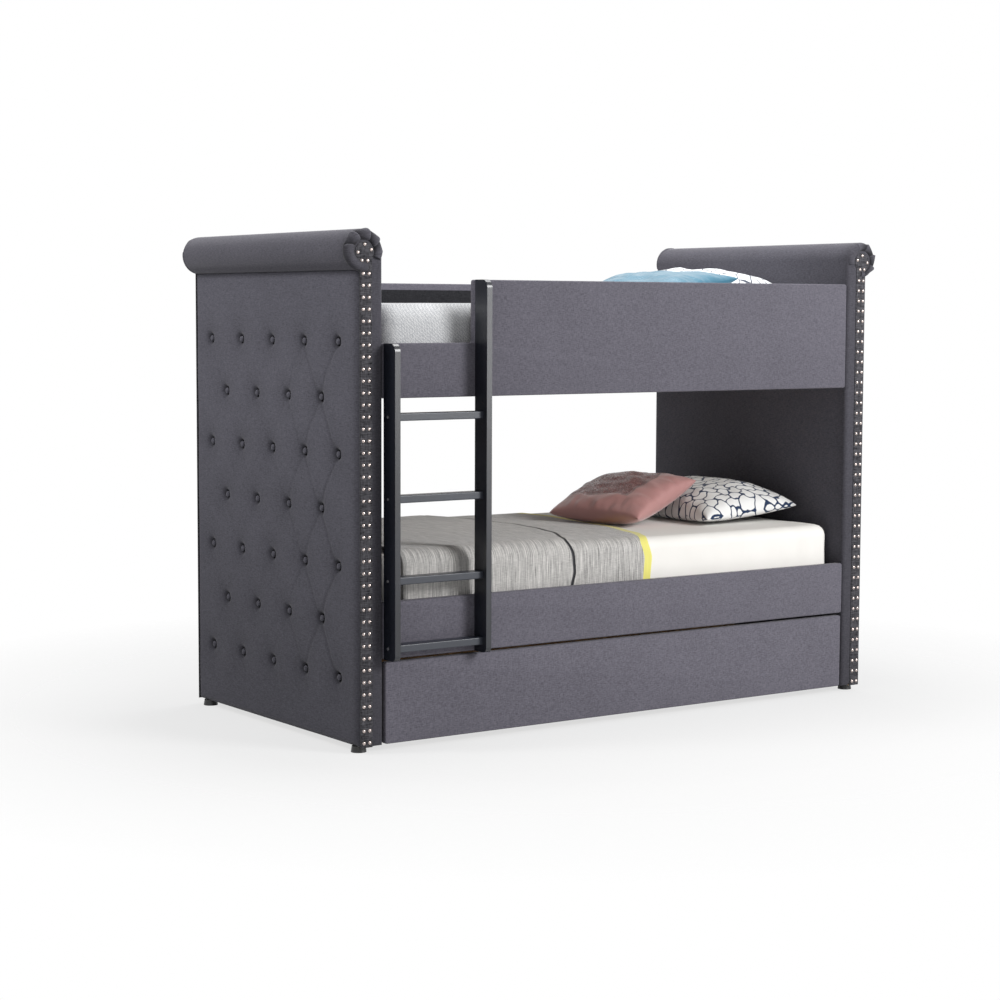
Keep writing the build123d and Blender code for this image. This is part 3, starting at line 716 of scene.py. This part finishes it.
def tuft_spots():
    """Places of the buttons, long and short rows by turns."""
    low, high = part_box("right_tuft_buttons")
    rows, long_row, radius = 7, 5, 0.0115
    reach_z = radius * cos(radians(18))
    pitch_z = (high.z - low.z - 2 * reach_z) / (rows - 1)
    pitch_y = (high.y - low.y - 2 * radius) / (long_row - 1)
    centre = (low.y + high.y) / 2
    top = high.z - reach_z
    spots = []
    for row in range(rows):
        count = long_row - row % 2
        for k in range(count):
            y = centre + (k - (count - 1) / 2) * pitch_y
            spots.append((y, top - row * pitch_z))
    return spots, pitch_y, pitch_z


def tuft_depth(y, z, spots, pitch_y, pitch_z):
    """How far the cloth is drawn in by the nearest buttons and by their creases."""
    drawn = creased = 0.0
    for spot_y, spot_z in spots:
        dy, dz = y - spot_y, z - spot_z
        if abs(dy) > pitch_y or abs(dz) > pitch_z * 1.05:
            continue
        reach = hypot(dy, dz)
        hole = PULL * exp(-((reach / HOLE_RADIUS) ** 2.6))
        dish = DISH_DEPTH * exp(-((reach / DISH_RADIUS) ** 1.2))
        drawn = max(drawn, hole + dish)
        for turn_y in (-1, 1):
            for turn_z in (-1, 1):
                ray = Vector((turn_y * pitch_y / 2, turn_z * pitch_z))
                end_y, end_z = spot_y + ray.x, spot_z + ray.y
                if not any(hypot(end_y - v, end_z - w) < 0.01 for v, w in spots):
                    continue
                length = ray.length
                ray /= length
                along = dy * ray.x + dz * ray.y
                if 0 < along < length:
                    sway = CREASE_SWAY * sin(along * 40)
                    off = abs(dy * ray.y - dz * ray.x - sway)
                    firm = min(1.0, 0.10 + 2.6 * max(0.0, middle_y - 0.05 - spot_y))
                    creased = max(creased, firm * exp(-((off / CREASE_HALF) ** 2)))
    return drawn, creased


def tufted_pad(name, side):
    """Outer face of an end, drawn in at its buttons and creased between them."""
    spots, pitch_y, pitch_z = tuft_spots()
    height = tuft_high.z - tuft_low.z
    width = tuft_high.y - tuft_low.y
    edit = bmesh.new()
    layer = edit.loops.layers.uv.new("UVMap")
    bmesh.ops.create_grid(edit, x_segments=250, y_segments=330, size=0.5)
    rim, rim_fall = 0.040, 0.012
    shade = {}
    for vert in edit.verts:
        y = (vert.co.x + 0.5) * width + tuft_low.y
        z = (vert.co.y + 0.5) * height + tuft_low.z
        drawn, creased = tuft_depth(y, z, spots, pitch_y, pitch_z)
        # Painted shade, darkest in the button holes and along the creases
        tone = max(0.0, 1 - 0.85 * (drawn / PULL) ** 0.9 - 0.22 * creased)
        shade[vert.index] = (tone, 0.5)
        drawn += CREASE_DEPTH * creased
        edge = min(y - tuft_low.y, (tuft_high.y - y) * 2.5, (z - tuft_low.z) * 2)
        fall = rim_fall * max(0.0, 1 - edge / rim) ** 2.4
        lumps = 0.0012 * noise.noise(Vector((y * 6, z * 6, side * 3)))
        vert.co = (side * (outer_x + 0.001 + lumps - drawn - fall), y, z)
    lay_uv(edit, layer, shade)
    edges = [e for e in edit.edges if e.is_boundary]
    made = bmesh.ops.extrude_edge_only(edit, edges=edges)
    for vert in made["geom"]:
        if isinstance(vert, bmesh.types.BMVert):
            vert.co.x = side * tuft_low.x
    bmesh.ops.recalc_face_normals(edit, faces=edit.faces)
    bmesh.ops.holes_fill(edit, edges=[e for e in edit.edges if e.is_boundary])
    bmesh.ops.recalc_face_normals(edit, faces=edit.faces)
    piece = make_piece(
        edit,
        f"{name}_tufted_pad",
        "bed",
        "upholstery",
        face_cloth,
        f"{name}_tufted_outer_pad",
    )


def tuft_buttons(name, side):
    """Cloth-covered buttons, flattened domes sunk into the pad."""
    radius, flatness = 0.0105, 0.62
    edit = bmesh.new()
    for y, z in tuft_spots()[0]:
        place = Matrix.Translation((side * (outer_x - radius), y, z))
        place @= Matrix.Diagonal((flatness, 1, 1, 1))
        bmesh.ops.create_uvsphere(
            edit, u_segments=16, v_segments=10, radius=radius, matrix=place
        )
    make_piece(
        edit,
        f"{name}_buttons",
        "bed",
        "upholstery",
        button_cloth,
        f"{name}_tuft_buttons",
    )


def nail_spots(side):
    """Two rows whose pitch widens towards the floor, and five nails on the head."""
    gaps, first_pitch, half = 39, 0.0366, 0.0105
    solid_radius, below_head = 0.0058, 0.065
    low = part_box("right_nailheads")[0].z + solid_radius
    high = head_z - below_head
    widening = (high - low - gaps * first_pitch) / gaps**2
    drops = [k * first_pitch + k**2 * widening for k in range(gaps + 1)]
    spots = [(strip_x + turn * half, high - drop) for drop in drops for turn in (-1, 1)]
    ring = 0.025
    spots += [(head_x + turn * half, head_z - ring) for turn in (-1, 1)]
    spots += [
        (head_x + ring * cos(radians(angle)), head_z + ring * sin(radians(angle)))
        for angle in (90, 0, 160)
    ]
    return [(side * x, z) for x, z in spots]


def nails(name, side):
    """Bright domed nail heads, cut flat on the strip."""
    radius, flatness = 0.0066, 0.62
    edit = bmesh.new()
    for x, z in nail_spots(side):
        place = Matrix.Translation((x, front_y, z))
        place @= Matrix.Diagonal((1, flatness, 1, 1))
        bmesh.ops.create_icosphere(edit, subdivisions=2, radius=radius, matrix=place)
    bmesh.ops.bisect_plane(
        edit,
        geom=edit.verts[:] + edit.edges[:] + edit.faces[:],
        plane_co=(0, front_y + 0.0004, 0),
        plane_no=(0, 1, 0),
        clear_outer=True,
    )
    make_piece(edit, f"{name}_nails", "bed", "nailheads", nickel, f"{name}_nailheads")


for name, side in SIDES.items():
    scroll_pad(name, side)
    tufted_pad(name, side)
    tuft_buttons(name, side)
    nails(name, side)
    for front in (1, -1):
        facing(name, side, front)
        pleated_end(name, side, front)


# Upholstered boards


def box_outline(low, high):
    return [(low.x, low.z), (high.x, low.z), (high.x, high.z), (low.x, high.z)]


def cloth_board(name, body, outline, low, high):
    """Board covered in cloth, its corners and rims rounded by the padding."""
    corner, rim = 0.008, 0.0045
    edit = plate(rounded_outline(outline, corner), low.y, high.y - low.y, rim)
    make_piece(
        edit, f"{name}_cloth", body, "upholstery", grey_cloth, f"{name}_cover"
    )


for name, body in (
    ("upper_back_board", "bed"),
    ("lower_front_board", "bed"),
    ("lower_back_board", "bed"),
    ("trundle_front_board", "trundle"),
):
    low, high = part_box(f"{name}_cover")
    cloth_board(name, body, box_outline(low, high), low, high)

guard_low, guard_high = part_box("upper_front_board_cover")
rail_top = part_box("ladder_left_stile")[1].z
stile_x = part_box("ladder_right_stile")[0].x
guard_outline = [
    (guard_low.x, guard_low.z),
    (guard_high.x, guard_low.z),
    (guard_high.x, guard_high.z),
    (stile_x, guard_high.z),
    (stile_x, rail_top),
    (guard_low.x, rail_top),
]
cloth_board("upper_front_board", "bed", guard_outline, guard_low, guard_high)


# Bedding


def soft_block(low, high, radius, crown, cuts, lumps):
    """Mattress block: rounded rims and a slightly crowned, uneven top."""
    top_share = 0.3
    edit = bmesh.new()
    middle, size = (low + high) / 2, high - low
    place = Matrix.Translation(middle) @ Matrix.Diagonal((*size, 1))
    bmesh.ops.create_cube(edit, size=1, matrix=place)
    bmesh.ops.bevel(
        edit,
        geom=edit.edges[:],
        offset=radius,
        offset_type="OFFSET",
        segments=7,
        profile=0.5,
        affect="EDGES",
        material=-1,
    )
    longest = [e for e in edit.edges if e.calc_length() > size.z / 3]
    bmesh.ops.subdivide_edges(edit, edges=longest, cuts=cuts, use_grid_fill=True)
    for vert in edit.verts:
        u = (vert.co.x - middle.x) / size.x * 2
        v = (vert.co.y - middle.y) / size.y * 2
        w = (vert.co.z - middle.z) / size.z * 2
        if w > top_share:
            vert.co.z += crown * (1 - u**4) * (1 - v**4)
            vert.co.z += lumps * noise.noise(vert.co * 5)
    return edit


def mattress(level, rim, crown, lumps):
    """Mattress in its ticking, its rims rounded by rim."""
    node = f"{level}_mattress"
    low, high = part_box(node)
    edit = soft_block(low, high, rim, crown, 24, lumps)
    piece = make_piece(
        edit, f"{level}_mattress_ticking", "bed", "mattress_ticking", ticking, node
    )


mattress("upper", 0.060, 0.004, 0.002)
mattress("lower", 0.042, 0, 0)

# The sheet reaches a little past its solid at the head end
SHEET_REACH = 0.009
CORNER = 0.038
sheet_low, sheet_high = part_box("lower_sheet")
sheet_high.x += SHEET_REACH
bed_y = (sheet_low.y + sheet_high.y) / 2
bed_half = (sheet_high.y - sheet_low.y) / 2
blanket_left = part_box("blanket")[0].x + 0.004


def fitted_sheet():
    """Sheet drawn tight over the mattress, with slight drag lines at the ends."""
    edit = soft_block(sheet_low, sheet_high, CORNER, 0.002, 70, 0)
    bmesh.ops.bisect_plane(
        edit,
        geom=edit.verts[:] + edit.edges[:] + edit.faces[:],
        plane_co=(0, 0, sheet_low.z + 0.002),
        plane_no=(0, 0, -1),
        clear_outer=True,
    )
    rim_height, end_reach, crease = 0.58, 0.16, 0.0055
    for vert in edit.verts:
        x, y, z = vert.co
        slack = max(0.0, noise.noise(Vector((x * 3, y * 2.5, 5)))) * 2
        slack += 1.6 * max(0.0, 1 - (sheet_high.x - x) / end_reach)
        drag = abs(noise.noise(Vector((x * 20, y * 4, z * 3))))
        outward = Vector((0, 0, 1))
        if z < rim_height:
            outward = Vector((0, y - bed_y, 0)).normalized()
        vert.co += outward * crease * drag * slack
    piece = make_piece(
        edit, "lower_fitted_sheet", "bed", "sheet", white_cotton, "lower_sheet"
    )
    modify(piece, "SOLIDIFY", thickness=0.0008, offset=-1)


fitted_sheet()


def over_mattress(across, lift):
    """Y and Z of a cloth over the mattress, across its width from the middle."""
    flat, bend = bed_half - CORNER, CORNER * pi / 2
    reach, way = abs(across), 1 if across > 0 else -1
    if reach <= flat:
        y, z = reach, sheet_high.z + lift
    elif reach <= flat + bend:
        turn = (reach - flat) / CORNER
        y = flat + (CORNER + lift) * sin(turn)
        z = sheet_high.z - CORNER + (CORNER + lift) * cos(turn)
    else:
        y, z = bed_half + lift, sheet_high.z - CORNER - (reach - flat - bend)
    return bed_y + way * y, z


def smooth_line(places, at):
    """Soft curve through places, each a distance across and its X."""
    for before, after in zip(places, places[1:]):
        if at <= after[0]:
            share = max(0.0, (at - before[0]) / (after[0] - before[0]))
            share = share * share * (3 - 2 * share) * 0.5 + share * 0.5
            return before[1] + (after[1] - before[1]) * share
    return places[-1][1]


def spread_cloth(name, finish, edge, lift, nose, hem, groove, stands_for=()):
    """Blanket layer across the mattress, its free edge rounded down to nose."""
    nose_round, groove_place, groove_half = 0.009, 0.017, 0.006
    swell_height, wave_depth = 0.0035, 0.006
    flat_half = bed_half - CORNER + CORNER * pi / 2
    reach = flat_half + (sheet_high.z - CORNER - hem)
    edit = bmesh.new()
    layer = edit.loops.layers.uv.new("UVMap")
    bmesh.ops.create_grid(edit, x_segments=90, y_segments=150, size=0.5)
    place = {}
    for vert in edit.verts:
        along, across = vert.co.x + 0.5, vert.co.y * 2 * reach
        right = smooth_line(edge, across)
        back = (right - blanket_left) * (1 - along) ** 2.6
        x = right - back
        rounded = sqrt(1 - (1 - min(back, nose_round) / nose_round) ** 2)
        height = nose + (lift - nose) * rounded
        height -= groove * exp(-(((back - groove_place) / groove_half) ** 2))
        swell = noise.noise(Vector((x * 6, across * 3.2, 2))) * min(1, back / 0.15)
        y, z = over_mattress(across, height + swell_height * max(0.0, swell))
        hang = max(0.0, abs(across) - flat_half) / 0.15
        wave = 0.5 + 0.5 * sin(x * 21 + 2.5 * sin(x * 7))
        y += (1 if across > 0 else -1) * wave_depth * min(1, hang) * wave
        place[vert.index] = (back, across)
        vert.co = (x, y, z)
    lay_uv(edit, layer, place)
    bmesh.ops.recalc_face_normals(edit, faces=edit.faces)
    piece = make_piece(edit, name, "bed", "blanket", finish, *stands_for)
    modify(piece, "SOLIDIFY", thickness=0.0032, offset=-1)
    lengths = [
        smooth_line(edge, reach * (k / 20 - 1)) - blanket_left for k in range(41)
    ]
    area = sum(lengths) / len(lengths) * 2 * reach


# Free edges of the blanket, as distance across the bed and X
BAND_EDGE = (
    (-0.70, 0.122), (-0.622, 0.125), (-0.546, 0.132), (-0.499, 0.119),
    (-0.347, 0.183), (-0.13, 0.245), (0.081, 0.268), (0.299, 0.295),
    (0.62, 0.25),
)
FOLD_EDGE = (
    (-0.70, -0.212), (-0.619, -0.205), (-0.576, -0.194), (-0.525, -0.198),
    (-0.48, -0.212), (-0.277, -0.118), (-0.13, -0.083), (0.026, -0.066),
    (0.134, -0.084), (0.269, -0.092), (0.463, -0.16), (0.62, -0.25),
)
spread_cloth(
    "blanket_spread",
    blanket_wool,
    BAND_EDGE,
    lift=0.006,
    nose=0.003,
    hem=0.445,
    groove=0,
    stands_for=("blanket",),
)
spread_cloth(
    "blanket_fold",
    fold_wool,
    FOLD_EDGE,
    lift=0.0185,
    nose=0.0062,
    hem=0.450,
    groove=0.005,
)


def pillow(node, name, slot, finish, lean, turn, size, seam, seed):
    """Cushion with a crown, a sewn edge, drawn-in sides and soft wrinkles."""
    low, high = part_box(node)
    middle = (low + high) / 2
    length, width, thickness = size
    drawn_in, gather_depth, fold_depth, crinkle_depth = 0.05, 0.016, 0.010, 0.006
    edit = bmesh.new()
    layer = edit.loops.layers.uv.new("UVMap")
    bmesh.ops.create_grid(edit, x_segments=64, y_segments=64, size=1)
    flat = {}
    for vert in edit.verts:
        flat[vert.index] = (vert.co.x * length / 2, vert.co.y * width / 2)
    lay_uv(edit, layer, flat)
    made = bmesh.ops.duplicate(edit, geom=edit.verts[:] + edit.edges[:] + edit.faces[:])
    under = {v for v in made["geom"] if isinstance(v, bmesh.types.BMVert)}
    for vert in edit.verts:
        u, v = vert.co.x, vert.co.y
        x = u * length / 2 * (1 - drawn_in * (1 - v * v) * abs(u) ** 3)
        y = v * width / 2 * (1 - drawn_in * (1 - u * u) * abs(v) ** 3)
        puff = max(0.0, (1 - abs(u) ** 2.3) * (1 - abs(v) ** 2.3)) ** 0.45
        edge = max(abs(u), abs(v))
        side_way = u if abs(v) > abs(u) else v
        gathers = noise.noise(Vector((side_way * 9, edge * 3, seed + 3)))
        gather = gather_depth * gathers
        gather *= edge**5 * puff
        wrinkle = fold_depth * noise.noise(Vector((x * 9, y * 9, seed)))
        wrinkle += crinkle_depth * noise.noise(Vector((x * 22, y * 17, seed + 7)))
        reach = thickness * (0.5 + seam if vert in under else 0.5 - seam)
        z = reach * puff + gather + wrinkle * puff
        if vert in under:
            z = -reach * min(1, puff * 1.15)
        vert.co = (x, y, z)
    bmesh.ops.reverse_faces(edit, faces=[f for f in edit.faces if f.verts[0] in under])
    rims = [v for v in edit.verts if v.is_boundary]
    bmesh.ops.remove_doubles(edit, verts=rims, dist=0.003)
    tilt = Matrix.Rotation(radians(turn), 4, "Z")
    tilt @= Matrix.Rotation(-radians(lean), 4, "Y")
    place = Matrix.Translation(middle) @ tilt
    bmesh.ops.transform(edit, matrix=place, verts=edit.verts)
    lowest = min(v.co.z for v in edit.verts)
    bmesh.ops.translate(edit, verts=edit.verts, vec=(0, 0, low.z - lowest + 0.001))
    piece = make_piece(edit, name, "bed", slot, finish, node)
    modify(piece, "SUBSURF", levels=1, render_levels=1)


for node, name, slot, finish, lean, turn, size, seam, seed in (
    (
        "lower_print_pillow", "lower_print_cushion", "printed_cotton", pebble_print,
        5, -4, (0.415, 0.68, 0.135), -0.25, 3,
    ),
    (
        "upper_print_pillow", "upper_print_cushion", "printed_cotton", sparse_print,
        3, 0, (0.415, 0.68, 0.132), -0.25, 11,
    ),
    (
        "lower_rose_pillow", "rose_cushion", "rose_satin", rose_satin,
        17, 17, (0.40, 0.40, 0.12), 0, 19,
    ),
    (
        "upper_blue_pillow", "blue_cushion", "blue_satin", blue_satin,
        8, 17, (0.455, 0.455, 0.096), 0, 27,
    ),
):
    pillow(node, name, slot, finish, lean, turn, size, seam, seed)


# Frame pieces whose solids are right as they are

set_finish(black_lacquer, "ladder_left_stile", "ladder_right_stile", bevel=0.002)
set_finish(rung_lacquer, "ladder_rungs", bevel=0.001)
set_finish(zinc, "ladder_screws", "ladder_bolts", "rail_bolts", bevel=0.0005)
set_finish(zinc, "caster_forks", "caster_axles", bevel=0.0004)
set_finish(black_steel, "rail_brackets", bevel=0.0005)
set_finish(black_plastic, "left_feet", "right_feet", bevel=0.001)
set_finish(black_cloth, "guard_linings")
set_finish(
    wheel_plastic,
    "front_left_wheel",
    "front_right_wheel",
    "back_left_wheel",
    "back_right_wheel",
)
wooden = [
    name
    for name in nodes
    if name.endswith("_core") or name.endswith("_slats") or name.endswith("_ledgers")
]
wooden += [
    "trundle_back_board",
    "trundle_left_board",
    "trundle_right_board",
    "trundle_bearers",
]
set_finish(softwood, *wooden, bevel=0.0015)


# Floor, light and camera
FLOOR_GREY = 0.62
FLOOR_GLOW = 0.68
FADE_START, FADE_END = 1.4, 2.6
WORLD_LEVEL = 0.42


def white_rays(tree):
    """1 for the rays that meet a white surround: seen, in gloss and through glass."""
    path = tree.nodes.new("ShaderNodeLightPath")
    seen = path.outputs["Is Camera Ray"]
    for ray in ("Is Glossy Ray", "Is Transmission Ray"):
        either = tree.nodes.new("ShaderNodeMath")
        either.operation = "MAXIMUM"
        tree.links.new(seen, either.inputs[0])
        tree.links.new(path.outputs[ray], either.inputs[1])
        seen = either.outputs[0]
    return seen


def floor_paint():
    """White floor that keeps the shadow and fades into the surround further out."""
    paint = Finish("floor_paint", Base_Color=(FLOOR_GREY,) * 3, Roughness=0.9)
    away = paint.node("ShaderNodeVectorMath", {"operation": "LENGTH"})
    paint.feed(away.inputs[0], paint.coordinates((1, 1, 1)))
    share = paint.steps(paint.out(away, "Value"), FADE_START, FADE_END, 0.0, 1.0)
    clear = paint.node("ShaderNodeBsdfTransparent")
    white = paint.node("ShaderNodeEmission", Color=(1, 1, 1, 1), Strength=1.0)
    lit = paint.node("ShaderNodeMixShader")
    fade = paint.node("ShaderNodeMixShader", Fac=share)
    join = paint.tree.links.new
    join(white_rays(paint.tree), lit.inputs["Fac"])
    join(paint.surface.outputs["BSDF"], lit.inputs[1])
    brighter = paint.node("ShaderNodeMixShader", Fac=FLOOR_GLOW)
    join(paint.surface.outputs["BSDF"], brighter.inputs[1])
    join(white.outputs["Emission"], brighter.inputs[2])
    join(brighter.outputs["Shader"], lit.inputs[2])
    join(lit.outputs["Shader"], fade.inputs[1])
    join(clear.outputs["BSDF"], fade.inputs[2])
    output = paint.tree.nodes["Material Output"]
    join(fade.outputs["Shader"], output.inputs["Surface"])
    return paint.material


def studio():
    """White floor and surround, with broad lamps."""
    edit = bmesh.new()
    bmesh.ops.create_grid(edit, x_segments=1, y_segments=1, size=3.0)
    mesh = bpy.data.meshes.new("floor")
    edit.to_mesh(mesh)
    edit.free()
    floor = bpy.data.objects.new("floor", mesh)
    scene.collection.objects.link(floor)
    mesh.materials.append(floor_paint())

    world = bpy.data.worlds.new("studio")
    scene.world = world
    world.use_nodes = True
    tree = world.node_tree
    light = tree.nodes["Background"]
    light.inputs["Color"].default_value = (1, 1, 1, 1)
    light.inputs["Strength"].default_value = WORLD_LEVEL
    white = tree.nodes.new("ShaderNodeBackground")
    white.inputs["Color"].default_value = (1, 1, 1, 1)
    white.inputs["Strength"].default_value = 1.0
    mix = tree.nodes.new("ShaderNodeMixShader")
    tree.links.new(white_rays(tree), mix.inputs["Fac"])
    tree.links.new(light.outputs["Background"], mix.inputs[1])
    tree.links.new(white.outputs["Background"], mix.inputs[2])
    tree.links.new(mix.outputs["Shader"], tree.nodes["World Output"].inputs["Surface"])

    for name, place, size, power in (
        ("key", (2.4, -5.6, 3.4), 2.4, 315),
        ("side", (-3.8, 0.6, 4.2), 1.0, 80),
        ("top", (0.6, 0.4, 4.6), 2.4, 105),
        ("front", (3.5, -6.4, 1.1), 1.5, 36),
    ):
        lamp = bpy.data.lights.new(name, "AREA")
        lamp.shape = "DISK"
        lamp.size = size
        lamp.energy = power
        holder = bpy.data.objects.new(name, lamp)
        aim = Vector((0, 0, 0.9)) - Vector(place)
        turn = aim.to_track_quat("-Z", "Y").to_matrix().to_4x4()
        holder.matrix_world = Matrix.Translation(place) @ turn
        scene.collection.objects.link(holder)


def camera():
    """Camera at the photograph's place, solved from the edges of the bed."""
    yaw, pitch, roll = radians(-34.96), radians(-4.93), radians(0.21)
    forward = Vector((-sin(yaw) * cos(pitch), cos(yaw) * cos(pitch), sin(pitch)))
    level = forward.cross(Vector((0, 0, 1))).normalized()
    upright = level.cross(forward)
    right = level * cos(roll) + upright * sin(roll)
    up = upright * cos(roll) - level * sin(roll)
    turn = Matrix((right, up, -forward)).transposed().to_4x4()
    data = bpy.data.cameras.new("camera")
    data.lens = 79.29
    data.sensor_width = 36.0
    holder = bpy.data.objects.new("camera", data)
    place = Matrix.Translation((-4.6195, middle_y - 6.3809, 1.3915))
    holder.matrix_world = place @ turn
    scene.collection.objects.link(holder)
    scene.camera = holder


studio()
camera()
